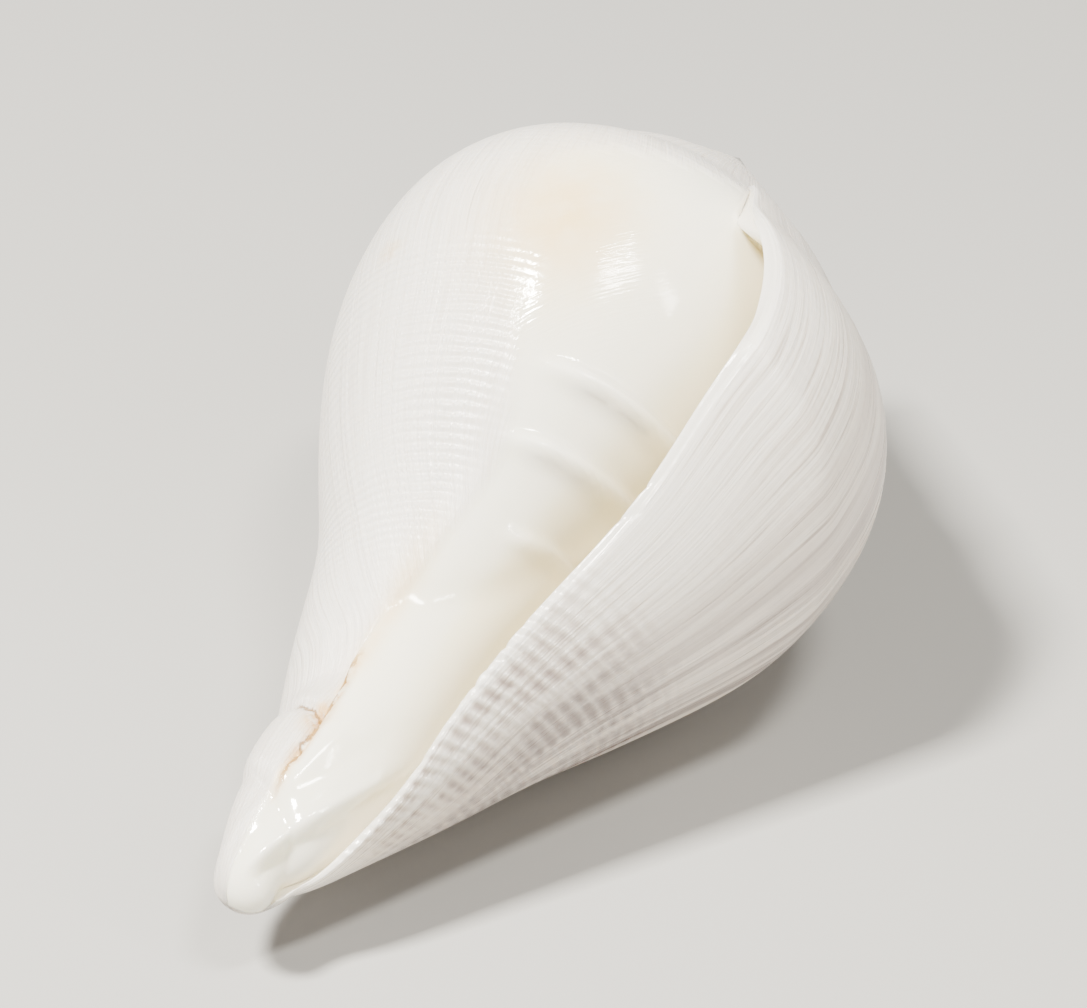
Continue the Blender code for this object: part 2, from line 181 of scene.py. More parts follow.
def outside_radius(angle, height):
    """Distance from the axis to the shell's outer surface below the seam."""
    size = growth(angle)
    depth = (LENGTH - height) / size
    body = body_profile(depth) * size
    body = smooth_min(body, CONE_RADIUS_AT_TIP + CONE_SLOPE * height, 1.0)

    left_of_chink = CHINK_ANGLE - wrap(angle, CHINK_ANGLE - 180.0)
    facing = wrap(angle, -180.0)
    right = smooth_step(facing, -90.0, -20.0) * (1.0 - smooth_step(facing, 60.0, 140.0))
    pillar = left_of_pillar(height) * (1.0 - right) + right_of_pillar(height) * right
    sharp = smooth_step(height, 7.0, 14.0)
    step = smooth_step(left_of_chink, 0.0, 60.0 - 51.0 * sharp)
    step = step * (1.0 - smooth_step(left_of_chink, 70.0, 120.0))
    pillar = pillar - GLAZE_STEP * step * (0.7 + 0.3 * sharp)

    radius = smooth_max(body, pillar, 0.8)
    radius = smooth_max(radius, thumb_profile(height), 0.8)
    round_from_chink = wrap(CHINK_ANGLE - angle, 0.0)
    from_crack = height - crack_line(round_from_chink)
    crack = CRACK_DEPTH * (1.0 - smooth_step(round_from_chink, 60.0, 230.0))
    radius = radius - crack * bump(from_crack, CRACK_WIDTH)
    chink = smooth_step(height, CHINK_LOW, 17.0) * (1.0 - smooth_step(height, 25.0, CHINK_HIGH))
    radius = radius - CHINK_DEPTH * chink * bump(left_of_chink, CHINK_WIDTH)
    for fold_depth, start, ridge in FOLDS:
        along = smooth_step(angle, start, start + 25.0)
        radius = radius + ridge * along * bump((depth - fold_depth) * size, FOLD_WIDTH)

    radius = smooth_min(radius, CONE_RADIUS_AT_TIP + CONE_SLOPE * height, 0.6)
    leftward = 0.5 - 0.5 * np.cos(np.radians(angle))
    blunt = TIP_HEIGHT + (THUMB_HEIGHT - TIP_HEIGHT) * leftward
    from_end = np.clip(1.0 - height / blunt, 0.0, 1.0)
    rounding = (TIP_RADIUS + (THUMB_RADIUS - TIP_RADIUS) * leftward) * np.sqrt(1.0 - from_end ** 2)
    rounding = rounding + np.maximum(height - blunt, 0.0)
    radius = smooth_min(radius, rounding, 2.0)

    past_rim = angle - (RIM_START + RIM_TURN * height)
    canal = smooth_step(height, CAP_HEIGHT, 5.0) * (1.0 - smooth_step(height, 17.0, 30.0))
    behind_lip = angle - TURN - lip_course(depth / WHORL_GROWTH)
    gutter = smooth_step(past_rim, 2.0, 26.0) * (1.0 - smooth_step(behind_lip, 5.0, 50.0))
    radius = radius + RIM_HEIGHT * canal * bump(past_rim, 5.0) - CANAL_DEPTH * canal * gutter
    radius = radius - GROOVE_DEPTH * canal * bump(past_rim + 28.0, 14.0)
    return np.maximum(radius, 0.0)


# How finely the surface is divided
COLUMNS = 180             # growth lines in one turn of the coil
SPIRE_ROWS = 28           # rows of each spire whorl, seam to seam
RIM_ROWS = 8              # rows across the lip's thickness
BODY_ROWS = 190           # rows from the hollow's upper corner down to the tip's cap
CAP_ROWS = 8
HOLLOW_LOOPS = 64
ROW_CROWDING = 0.9        # below 1, rows lie closer together toward the canal
SAMPLES = 900             # points along one growth line while it is worked out

# Wall of the last whorl
SHOULDER_THICKNESS = 3.0  # the lip is thicker beside the seam
SHOULDER_REACH = 10.0     # and has its own thickness this far below it
THICKENING = 60.0         # degrees behind the lip by which the wall has its full thickness
LIP_ROUNDING = 0.25       # bulge of the lip's edge, as a share of its thickness
CLEARANCE = 0.6           # the hollow ends where its walls come this close
# Small chips in the lip's edge: profile depth, how far back the edge is broken, half width
CHIPS = [(87.1, 1.3, 0.45), (88.2, 0.6, 0.3), (89.6, 0.8, 0.4), (91.6, 1.5, 0.5), (68.2, 0.7, 0.6),
         (84.6, 0.5, 0.5), (94.2, 0.7, 0.6), (100.5, 0.5, 0.7)]
CHIP_REACH = 2.5          # degrees behind the lip where no chip is left
END_CROWDING = 6.0        # rows that reach past the hollow's ends are crowded into this height


def chipped(depth, back):
    """Angle by which the chips set back a growth line near the lip's edge."""
    broken = sum(bite * bump(depth - place, width) for place, bite, width in CHIPS)
    return broken * (1.0 - smooth_step(back, 0.0, CHIP_REACH))


def growth_line(back):
    """Work out one growth line: profile depth, angle, height and radius along it."""
    depth = np.linspace(SUTURE_DEPTH, 2.0 * LENGTH, SAMPLES)
    angle = lip_course(depth) + back + chipped(depth, back)
    height = LENGTH - depth * growth(angle)
    free = body_profile(depth) * growth(angle)
    radius = np.where(depth < SEAM_DEPTH, free, outside_radius(angle, height))
    shown = height > 0.0
    return depth[shown], angle[shown], height[shown], radius[shown]


def seam_rows(back):
    """Place the rows between two seams: height, angle, radius."""
    depth = np.linspace(SUTURE_DEPTH, SEAM_DEPTH, SPIRE_ROWS + 1)
    angle = np.full(len(depth), SEAM_ANGLE + back)
    return LENGTH - depth * growth(angle), angle, body_profile(depth) * growth(angle)


def wall_thickness(depth, height, back, shell):
    """Thickness of the whorl's wall at a place on a growth line."""
    beside_seam = 1.0 - smooth_step(depth, SEAM_DEPTH, SEAM_DEPTH + SHOULDER_REACH)
    edge = shell.lip_thickness / MM
    lip = edge + (SHOULDER_THICKNESS - edge) * beside_seam
    full = shell.wall_thickness / MM * growth(back)
    thickness = lip + (full - lip) * smooth_step(back, 0.0, THICKENING)
    return thickness * smooth_step(height, 0.0, 14.0)


def hollow_wall(back, shell):
    """Work out the inner side of the whorl's wall: profile depth, angle, height, radius."""
    depth, angle, height, radius = growth_line(back)
    rise = np.gradient(height)
    spread = np.gradient(radius)
    inward = wall_thickness(depth, height, back, shell) / np.hypot(rise, spread)
    inner_height = height - inward * spread
    inner_radius = radius + inward * rise
    gap = inner_radius - outside_radius(angle + TURN, inner_height)
    middle = int(np.argmax(gap))
    first = np.nonzero(gap[:middle] < CLEARANCE)[0][-1] + 1
    last = middle + np.nonzero(gap[middle:] < CLEARANCE)[0][0]
    return depth[first:last], angle[first:last], inner_height[first:last], inner_radius[first:last]


def last_whorl_column(back, corner_drop):
    """Place one column of the last whorl's outside, seam to tip: height, angle, radius."""
    height, angle, radius = seam_rows(back)
    seam = height[-1]
    corner = seam - corner_drop * growth(back - TURN)
    share = np.linspace(0.0, 1.0, BODY_ROWS + 1) ** ROW_CROWDING
    turn = np.linspace(0.0, 0.5 * math.pi, CAP_ROWS + 1)
    below = np.concatenate([
        np.linspace(seam, corner, RIM_ROWS + 1)[1:],
        (corner + (CAP_HEIGHT - corner) * share)[1:],
        (CAP_HEIGHT * (1.0 - np.sin(turn)))[1:],
    ])
    # Every column has the outline of the lip's edge, so that the last one lies straight under it
    outline = growth_line(0.0)
    depth = np.interp(below, outline[2][::-1], outline[0][::-1])
    course = lip_course(depth) + back + chipped(depth, back)
    return (np.append(height, below), np.append(angle, course),
            np.append(radius, outside_radius(course, below)))


class Skin:
    """The points and faces of the shell as they are laid down."""

    def __init__(self):
        self.points = []
        self.heights = []
        self.angles = []
        self.sides = []
        self.faces = []
        self.places = []

    def add(self, height, angle, radius, side):
        """Add points given by height, angle and radius and return their numbers."""
        turned = np.radians(angle)
        first = len(self.points)
        places = np.stack([radius * np.cos(turned), radius * np.sin(turned), height], axis=-1)
        self.points.extend(places.reshape(-1, 3).tolist())
        self.heights.extend(np.ravel(height).tolist())
        self.angles.extend(np.ravel(angle).tolist())
        self.sides.extend([side] * (len(self.points) - first))
        return np.arange(first, len(self.points))

    def sheet(self, grid, height, angle):
        """Join a grid of point numbers with faces. Rows run down, columns anticlockwise.

        Heights and angles are those of the grid's own places, because a point on a seam
        belongs to two whorls and lies at another place in the growth of each."""
        depth = (LENGTH - height) / growth(angle)
        course = angle - lip_course(depth)
        rows, columns = grid.shape
        for i in range(rows - 1):
            for j in range(columns - 1):
                corners = ((i, j), (i + 1, j), (i + 1, j + 1), (i, j + 1))
                self.face([grid[c] for c in corners],
                          [(depth[c], course[c], angle[c]) for c in corners])

    def face(self, corners, places):
        """Add one face, leaving out a corner that repeats the one before it."""
        kept = [k for k in range(len(corners)) if corners[k] != corners[k - 1]]
        if len(kept) > 2:
            self.faces.append([int(corners[k]) for k in kept])
            self.places.extend(places[k] for k in kept)


OUTER, RIM, INNER = 0.0, 0.5, 1.0


def build_skin(shell):
    """Lay down the whole surface: last whorl, spire, lip and hollow."""
    skin = Skin()
    seam = SPIRE_ROWS
    corner = seam + RIM_ROWS
    cap = corner + BODY_ROWS
    step = TURN / COLUMNS

    depth, angle, height, radius = hollow_wall(0.0, shell)
    corner_drop = seam_rows(TURN)[0][-1] - height[0]

    # Outside of the last whorl. Its first column is the lip's edge, and the last one lies under it.
    outside = np.zeros((cap + CAP_ROWS + 1, COLUMNS + 1), dtype=int)
    heights = np.zeros(outside.shape)
    angles = np.zeros(outside.shape)
    edge = last_whorl_column(0.0, corner_drop)
    for column in range(COLUMNS, -1, -1):
        places = last_whorl_column(column * step, corner_drop)
        outside[:, column] = skin.add(*places, OUTER)
        heights[:, column], angles[:, column] = places[0], places[1]
    outside[seam, COLUMNS] = outside[0, 0]
    outside[cap:, 0] = outside[cap:, COLUMNS]
    outside[-1, :] = outside[-1, COLUMNS]
    skin.sheet(outside, heights, angles)

    # Spire. Each column ends on the seam that the whorl below it began with.
    columns = COLUMNS * SPIRE_WHORLS
    spire = np.zeros((seam + 1, columns + 1), dtype=int)
    heights = np.zeros(spire.shape)
    angles = np.zeros(spire.shape)
    spire[:, 0] = outside[:seam + 1, COLUMNS]
    heights[:, 0], angles[:, 0], _ = seam_rows(TURN)
    for column in range(1, columns + 1):
        places = seam_rows(TURN + column * step)
        spire[:, column] = skin.add(*places, OUTER)
        heights[:, column], angles[:, column] = places[0], places[1]
        spire[seam, column] = outside[0, column] if column <= COLUMNS else spire[0, column - COLUMNS]
    skin.sheet(spire, heights, angles)
    top = skin.add(np.array([LENGTH]), np.array([0.0]), np.array([0.0]), OUTER)[0]
    last_turn = list(spire[0, columns - COLUMNS:]) + list(spire[1:, columns])
    at_top = (SUTURE_DEPTH, SEAM_ANGLE, 0.0)
    for left, right in zip(last_turn[:-1], last_turn[1:]):
        skin.face([top, left, right], [at_top] * 3)

    # Edge of the lip, rounded from the outside to the inner side of the wall.
    edge_height, edge_angle, edge_radius = (values[:cap + 1] for values in edge)
    edge_depth = (LENGTH - edge_height) / growth(edge_angle)
    share = (edge_depth - edge_depth[0]) / (edge_depth[-1] - edge_depth[0])
    inner_depth = depth[0] + (depth[-1] - depth[0]) * share
    inner = [np.interp(inner_depth, depth, values) for values in (height, angle, radius)]
    lip = np.zeros((cap + 1, RIM_ROWS + 1), dtype=int)
    heights = np.zeros(lip.shape)
    angles = np.zeros(lip.shape)
    lip[:, 0] = outside[:cap + 1, 0]
    heights[:, 0], angles[:, 0] = edge_height, edge_angle
    for k in range(1, RIM_ROWS + 1):
        part = k / RIM_ROWS
        across = np.hypot(edge_height - inner[0], edge_radius - inner[2])
        bulge = LIP_ROUNDING * across * math.sin(math.pi * part) * smooth_step(share, 0.0, 0.2)
        rounded = (edge_angle + (inner[1] - edge_angle) * part
                   - np.degrees(bulge / np.maximum(edge_radius, 1.0)))
        heights[:, k] = edge_height + (inner[0] - edge_height) * part
        angles[:, k] = rounded
        lip[:, k] = skin.add(heights[:, k], rounded,
                             edge_radius + (inner[2] - edge_radius) * part, RIM)
        lip[0, k] = outside[seam + k, COLUMNS]
        lip[cap, k] = outside[cap, COLUMNS]
    skin.sheet(lip[:, ::-1], heights[:, ::-1], angles[:, ::-1])

    # Hollow: closed loops down the inner side of the wall and back up the pillar.
    wall_side = lip[:, RIM_ROWS]
    pillar_side = outside[cap - 1:corner:-1, COLUMNS]
    beside = last_whorl_column(TURN, corner_drop)
    pillar_heights = beside[0][cap - 1:corner:-1]
    pillar_angles = beside[1][cap - 1:corner:-1]
    rise = np.linspace(0.0, 1.0, len(pillar_heights) + 2)[1:-1]
    loops = [np.concatenate([wall_side, pillar_side])]
    heights = [np.concatenate([heights[:, RIM_ROWS], pillar_heights])]
    angles = [np.concatenate([angles[:, RIM_ROWS], pillar_angles])]
    for back in np.linspace(0.0, TURN * HOLLOW_TURNS, HOLLOW_LOOPS + 1)[1:]:
        depth, angle, height, radius = hollow_wall(back, shell)
        wall_depth = depth[0] + (depth[-1] - depth[0]) * share
        wall = [np.interp(wall_depth, depth, values) for values in (height, angle, radius)]
        up = np.maximum(pillar_heights, height[-1] + END_CROWDING * rise)
        up = np.minimum(up, height[0] - END_CROWDING * (1.0 - rise))
        course = np.interp(up, height[::-1], angle[::-1])
        pillar = outside_radius(course + TURN, up)
        loops.append(np.concatenate([skin.add(*wall, INNER), skin.add(up, course, pillar, INNER)]))
        heights.append(np.concatenate([wall[0], up]))
        angles.append(np.concatenate([wall[1], course + TURN]))
    grid, heights, angles = (np.array(values[::-1]).T for values in (loops, heights, angles))
    grid, heights, angles = (np.vstack([values, values[:1]]) for values in (grid, heights, angles))
    skin.sheet(grid, heights, angles)
    last = [skin.points[i] for i in loops[-1]]
    skin.points.append(np.mean(last, axis=0).tolist())
    skin.heights.append(skin.points[-1][2])
    skin.angles.append(TURN)
    skin.sides.append(INNER)
    end = len(skin.points) - 1
    in_the_dark = (LENGTH, TURN, TURN)
    for a, b in zip(loops[-1], np.roll(loops[-1], -1)):
        skin.face([end, b, a], [in_the_dark] * 3)
    return skin


# How the shell lies: on the back of its last whorl and the canal's tip, with its opening up
REST_SIDE = 66.0          # angle of the side that faces down
REST_DIP = 17.0           # how far the axis is turned from level, the canal's tip down


def lay_down(points, shell):
    """Turn the standing shell to its resting place and wear it flat there."""
    turn = Matrix.Rotation(math.radians(REST_DIP - 90.0), 3, "X")
    turn = turn @ Matrix.Rotation(math.radians(90.0 - REST_SIDE), 3, "Z")
    placed = np.array(points) @ np.array(turn).T
    low = placed.min(axis=0)
    high = placed.max(axis=0)
    floor = low[2] + shell.wear_depth / MM
    placed[:, 2] = np.maximum(placed[:, 2], floor)
    placed = placed - np.array([0.5 * (low[0] + high[0]), 0.5 * (low[1] + high[1]), floor])
    return placed * shell.length / LENGTH


# Where the older whorl is glazed by the callus that the mantle laid on it: height, angle
GLAZE_EDGE = [(0.0, 238.0), (13.0, 240.0), (20.0, 244.0), (30.0, 236.0), (38.0, 249.0),
              (46.0, 256.0), (56.0, 259.0), (62.0, 252.0), (71.0, 241.0), (80.0, 235.0),
              (88.0, 237.0), (92.0, 246.0), (96.0, 268.0), (120.0, 300.0)]
GLAZE_BLEND = 4.0         # degrees over which the glaze thins out
# Warm tint that shows through the thin upper callus: angle, height and half widths
PEACH_ANGLE, PEACH_HEIGHT = 245.0, 80.0
PEACH_SPREAD, PEACH_REACH = 19.0, 10.0
CHINK_RADIUS = 7.0        # mm, of the pillar along the chink
SPOT_ANGLE, SPOT_HEIGHT = 199.0, 74.0
SPOT_SPREAD, SPOT_REACH = 4.0, 1.6
glaze_edge = spline(GLAZE_EDGE)


def below_seam(angle, height):
    """Nothing on the bare spire, all of what the newer whorl has grown over."""
    depth = (LENGTH - height) / growth(angle)
    return smooth_step(depth, SEAM_DEPTH, SEAM_DEPTH + 2.0)


def glaze_at(angle, height, side):
    """Share of porcelain-like glaze: the callus, the pillar, and all that lies inside."""
    outer = smooth_step(angle - glaze_edge(height), -GLAZE_BLEND, GLAZE_BLEND)
    outer = outer * below_seam(angle, height)
    return np.maximum(outer * (side == OUTER), side)


def tints_at(angle, height, side):
    """Shares of the ochre haze, of the peach tint and of the inside's cream."""
    outer = side == OUTER
    older = outer * smooth_step(angle, 150.0, 190.0)
    left_of_chink = CHINK_ANGLE - wrap(angle, CHINK_ANGLE - 180.0)
    meeting = bump(left_of_chink - 4.0, 12.0) * bump(height - 21.5, 2.2)
    spot = bump(angle - SPOT_ANGLE, SPOT_SPREAD) * bump(height - SPOT_HEIGHT, SPOT_REACH)
    haze = np.maximum(meeting * older, 0.4 * spot * outer)
    peach = bump(angle - PEACH_ANGLE, PEACH_SPREAD) * bump(height - PEACH_HEIGHT, PEACH_REACH)
    streak = smooth_step(height, 22.0, 30.0) * (1.0 - smooth_step(height, 38.0, 52.0))
    peach = np.maximum(peach, 0.6 * streak * bump(left_of_chink + 3.0, 10.0))
    grown_over = smooth_step(angle, 284.0, 300.0) * below_seam(angle, height)
    inside = np.maximum(side >= INNER, grown_over * outer)
    inside = inside * smooth_step(height, 20.0, 50.0)
    return np.stack([haze, peach * outer, inside], axis=-1)


def cracks_at(angle, height, side):
    """Distances in mm from the chink and from the crack, and how clearly each one shows."""
    left_of_chink = CHINK_ANGLE - wrap(angle, CHINK_ANGLE - 180.0)
    round_from_chink = wrap(CHINK_ANGLE - angle, 0.0)
    chink = np.radians(left_of_chink) * CHINK_RADIUS
    crack = height - crack_line(round_from_chink)
    in_chink = smooth_step(height, 9.0, 15.0) * (1.0 - smooth_step(height, 27.0, 31.0))
    on_crack = 1.0 - smooth_step(round_from_chink, 30.0, 75.0)
    shown = np.maximum(in_chink * bump(chink, 2.5), on_crack * bump(crack, 2.5))
    older = (side == OUTER) * smooth_step(angle, 150.0, 190.0)
    return np.stack([chink, crack, shown * older], axis=-1)


def linear(code):
    """Turn an sRGB hex colour such as F4EFE6 into linear values."""
    values = [int(code[k:k + 2], 16) / 255.0 for k in (0, 2, 4)]
    return tuple(v / 12.92 if v <= 0.04045 else ((v + 0.055) / 1.055) ** 2.4
                 for v in values) + (1.0,)


def add_node(tree, kind, links=None, **settings):
    """Add one node. Settings are its own; links maps input names or numbers to sockets or values."""
    node = tree.nodes.new(kind)
    for name, value in settings.items():
        setattr(node, name, value)
    for key, value in (links or {}).items():
        if isinstance(value, bpy.types.NodeSocket):
            tree.links.new(value, node.inputs[key])
        else:
            node.inputs[key].default_value = value
    return node


def maths(tree, operation, first, second=0.0, clamp=False):
    """Add one sum and return its result."""
    node = add_node(tree, "ShaderNodeMath", {0: first, 1: second},
                    operation=operation, use_clamp=clamp)
    return node.outputs[0]


def window(tree, value, low, low_full, high_full, high):
    """Return 1 where the value is between the full limits, fading to 0 at the outer ones."""
    rise = add_node(tree, "ShaderNodeMapRange", {0: value, 1: low, 2: low_full},
                    interpolation_type="SMOOTHSTEP")
    fall = add_node(tree, "ShaderNodeMapRange", {0: value, 1: high_full, 2: high},
                    interpolation_type="SMOOTHSTEP")
    down = maths(tree, "SUBTRACT", 1.0, fall.outputs[0])
    return maths(tree, "MULTIPLY", rise.outputs[0], down)


def blended(tree, share, first, second):
    """Blend two colours by a share."""
    node = add_node(tree, "ShaderNodeMix", {"Factor": share}, data_type="RGBA")
    for slot, value in ((6, first), (7, second)):
        if isinstance(value, bpy.types.NodeSocket):
            tree.links.new(value, node.inputs[slot])
        else:
            node.inputs[slot].default_value = value
    return node.outputs[2]


# Pattern sizes
GROWTH_LINE_PITCH = 1.5   # degrees of coil between growth lines, about 1 mm at the widest place
# Kinds of growth line: pitch beside the one above, length in profile depth, detail of the noise
GROWTH_LINES = {"fine": (1.0, 34.0, 5.0), "broad": (3.5, 110.0, 4.0)}
STRIA_PITCH = 1.5         # spiral threads, in profile depth, about 1 mm on the older whorl
CORD_PITCH = 1.7          # coarse cords on the newest part of the whorl's base
BRUSH_PITCH = 0.7         # mm between the streaks that the callus was laid down in
RIPPLE_SIZE = 2.6         # mm, the unevenness left by polishing
GROWTH_LINE_RELIEF = 0.26   # mm
STRIA_RELIEF = 0.055
CORD_RELIEF = 0.5
BRUSH_RELIEF = 0.05
RIPPLE_RELIEF = 0.03
SCAR_COURSE = 288.7       # growth line where the shell was once chipped and mended
SCAR_RELIEF = 0.08
CRACK_WANDER = 1.3        # mm, how unevenly the hairline cracks run
CRACK_JITTER_SIZE = 2.0   # mm
CRACK_RELIEF = 0.2

# Where each pattern shows: start of its fade in, end of it, start of its fade out, end of it.
# Depths are profile depths, and courses are degrees behind the lip.
CORD_DEPTHS, CORD_COURSES = (72.0, 84.0, 108.0, 118.0), (-60.0, -20.0, 50.0, 100.0)
THREAD_DEPTHS, THREAD_ANGLES = (60.0, 68.0, 100.0, 116.0), (130.0, 180.0, 238.0, 254.0)
CALLUS_DEPTHS, CALLUS_ANGLES = (30.0, 42.0, 74.0, 82.0), (215.0, 232.0, 262.0, 290.0)
SCAR_DEPTHS = (50.0, 54.0, 59.0, 63.0)
LINED_COURSES = (-60.0, -20.0, 150.0, 220.0)    # where polishing has left the dark growth lines
# The side that faces down gets painted shade, partly the shell's own mauve tint
PAINTED_SHADE_COURSES = (8.0, 65.0, 110.0, 190.0)      # side of the last whorl that faces down
CALLUS_SLANT = 0.62       # depth by which a callus streak rises in one degree
HAIRLINE_EDGES = (-2.0, -1.0, 0.06, 0.32)       # mm from the middle of a hairline crack
HAZE_EDGES = (-2.0, -1.0, 0.0, 1.4)             # mm from the middle of the chink


def noise(tree, across, along, detail=2.0, roughness=0.5):
    """Add noise over two pattern coordinates."""
    spot = add_node(tree, "ShaderNodeCombineXYZ", {0: across, 1: along}).outputs[0]
    return add_node(tree, "ShaderNodeTexNoise",
                    {"Vector": spot, "Scale": 1.0, "Detail": detail,
                     "Roughness": roughness}).outputs["Fac"]


# What light does in the shell's aragonite
REFRACTION = 1.6
SCATTER_SHARE = 0.5
SCATTER_COLOUR = (1.0, 0.9, 0.75)
SCATTER_REACH = 0.004     # m


def shell_material(shell):
    """Aragonite of a cleaned sea-snail shell, its outer layer rubbed down and polished.

    The glazed parts look like wet porcelain: nearly white, with sharp highlights. Outside them the
    growth lines and spiral threads stay, so the surface is satin and a little greyer."""
    material = bpy.data.materials.new("polished_aragonite")
    material.use_nodes = True
    tree = material.node_tree
    surface = tree.nodes["Principled BSDF"]

    place = add_node(tree, "ShaderNodeAttribute", attribute_name="place")
    split = add_node(tree, "ShaderNodeSeparateXYZ", {0: place.outputs["Vector"]})
    depth, course, angle = split.outputs
    tints = add_node(tree, "ShaderNodeAttribute", attribute_name="tints")
    shares = add_node(tree, "ShaderNodeSeparateXYZ", {0: tints.outputs["Vector"]})
    haze, peach, inside = shares.outputs
    cracks = add_node(tree, "ShaderNodeAttribute", attribute_name="cracks")
    split = add_node(tree, "ShaderNodeSeparateXYZ", {0: cracks.outputs["Vector"]})
    chink, crack, cracked = split.outputs
    glaze = add_node(tree, "ShaderNodeAttribute", attribute_name="glaze").outputs["Fac"]
    where = add_node(tree, "ShaderNodeNewGeometry").outputs["Position"]
    bare = maths(tree, "SUBTRACT", 1.0, glaze, clamp=True)

    # Growth lines run with the lip and differ in width and strength, so they come from noise
    # that is squeezed across them and drawn out along them.
    lines = {}
    for name, (pitch, stretch, detail) in GROWTH_LINES.items():
        across = maths(tree, "DIVIDE", course, GROWTH_LINE_PITCH * pitch)
        along = maths(tree, "DIVIDE", depth, stretch)
        lines[name] = noise(tree, across, along, detail=detail, roughness=0.62)

    # Spiral threads follow the coil at constant profile depth. A slow wander keeps them uneven.
    wander = noise(tree, maths(tree, "DIVIDE", course, 16.0), maths(tree, "DIVIDE", depth, 5.0),
                   detail=3.0, roughness=0.6)
    level = maths(tree, "ADD", depth, wander)
    threads = maths(tree, "SINE", maths(tree, "MULTIPLY", level, 2.0 * math.pi / STRIA_PITCH))
    cords = maths(tree, "SINE", maths(tree, "MULTIPLY", level, 2.0 * math.pi / CORD_PITCH))
    low_down = window(tree, depth, *CORD_DEPTHS)
    newest = window(tree, course, *CORD_COURSES)
    on_cords = maths(tree, "MULTIPLY", maths(tree, "MULTIPLY", low_down, newest), bare)
    bands = noise(tree, maths(tree, "DIVIDE", course, 7.0), maths(tree, "DIVIDE", depth, 16.0),
                  detail=4.0, roughness=0.6)
    bands = window(tree, bands, 0.38, 0.62, 1.0, 1.5)
    # The older whorl keeps its threads up to the glaze and a little way under it
    older = window(tree, angle, *THREAD_ANGLES)
    waist = window(tree, depth, *THREAD_DEPTHS)
    veil = maths(tree, "ADD", maths(tree, "MULTIPLY", bare, 0.8), 0.2)
    on_threads = maths(tree, "MULTIPLY", maths(tree, "MULTIPLY", older, waist), veil)
    broken_up = window(tree, lines["fine"], 0.36, 0.5, 1.0, 1.5)
    on_threads = maths(tree, "MULTIPLY", on_threads, broken_up)
    faint = maths(tree, "MULTIPLY", bare, lines["broad"])
    threads_shown = maths(tree, "ADD", on_threads, maths(tree, "MULTIPLY", faint, 0.3))

    # Streaks of the callus run slantwise where it thins out over the older whorl
    slant = maths(tree, "ADD", maths(tree, "MULTIPLY", angle, CALLUS_SLANT), depth)
    drift = maths(tree, "SUBTRACT", maths(tree, "MULTIPLY", angle, CALLUS_SLANT), depth)
    streaks = noise(tree, maths(tree, "DIVIDE", slant, BRUSH_PITCH), maths(tree, "DIVIDE", drift, 9.0))
    thin_callus = maths(tree, "MULTIPLY", window(tree, angle, *CALLUS_ANGLES),
                        window(tree, depth, *CALLUS_DEPTHS))

    ripple = add_node(tree, "ShaderNodeTexNoise",
                      {"Vector": where, "Scale": 1.0 / (RIPPLE_SIZE * MM), "Detail": 2.0,
                       "Roughness": 0.5}).outputs["Fac"]
    scar = maths(tree, "SUBTRACT", course, SCAR_COURSE)
    scar = maths(tree, "MULTIPLY", maths(tree, "ABSOLUTE", scar), 3.0)
    scar = maths(tree, "SUBTRACT", 1.0, scar, clamp=True)
    scar = maths(tree, "MULTIPLY", scar, window(tree, depth, *SCAR_DEPTHS))

    # Hairline cracks in the chink and across the thumb
    jitter = add_node(tree, "ShaderNodeTexNoise",
                      {"Vector": where, "Scale": 1.0 / (CRACK_JITTER_SIZE * MM), "Detail": 5.0,
                       "Roughness": 0.6}).outputs["Fac"]
    jitter = maths(tree, "MULTIPLY", maths(tree, "SUBTRACT", jitter, 0.5), CRACK_WANDER * 2.0)
    hairline = 0.0
    for distance in (chink, crack):
        off = maths(tree, "ABSOLUTE", maths(tree, "ADD", distance, jitter))
        line = window(tree, off, *HAIRLINE_EDGES)
        hairline = maths(tree, "MAXIMUM", hairline, line)
    hairline = maths(tree, "MULTIPLY", hairline, cracked)

    # Where cords and growth lines cross, they make a lattice of small raised beads
    beads = maths(tree, "MULTIPLY", maths(tree, "ADD", cords, 1.0),
                  maths(tree, "ADD", lines["fine"], 0.2))
    shown = (
        (lines["fine"], bare, GROWTH_LINE_RELIEF),
        (lines["broad"], bare, GROWTH_LINE_RELIEF),
        (threads, threads_shown, STRIA_RELIEF),
        (beads, on_cords, CORD_RELIEF * 0.5),
        (streaks, thin_callus, BRUSH_RELIEF),
        (ripple, 1.0, RIPPLE_RELIEF),
        (scar, -1.0, SCAR_RELIEF),
        (hairline, -1.0, CRACK_RELIEF),
    )
    relief = 0.0
    for pattern, share, height in shown:
        layer = maths(tree, "MULTIPLY", pattern, maths(tree, "MULTIPLY", share, height))
        relief = maths(tree, "ADD", relief, layer)
    bumped = add_node(tree, "ShaderNodeBump", {"Strength": 1.0, "Distance": MM, "Height": relief})

    # Colour: porcelain glaze over a slightly greyer outer layer with darker growth lines
    dark_lines = window(tree, lines["fine"], 0.3, 0.44, 0.5, 0.78)
    # They have been polished away on the older whorl
    rubbed = window(tree, course, *LINED_COURSES)
    rubbed = maths(tree, "SUBTRACT", 0.8, maths(tree, "MULTIPLY", rubbed, 0.8))
    dark_lines = maths(tree, "MAXIMUM", dark_lines, rubbed)
    outer = blended(tree, dark_lines, linear(shell.line_colour), linear(shell.outer_colour))
    # Painted shade in the furrows beside the coarsest growth lines, deepest between the cords
    painted_furrow_shade = maths(tree, "MULTIPLY", maths(tree, "SUBTRACT", 1.0, cords), 0.5)
    painted_furrow_shade = maths(tree, "ADD", maths(tree, "MULTIPLY", painted_furrow_shade, 0.6), 0.15)
    painted_furrow_shade = maths(tree, "MULTIPLY", maths(tree, "MULTIPLY", painted_furrow_shade, bands), on_cords)
    outer = blended(tree, painted_furrow_shade, outer, linear(shell.painted_shade_colour))
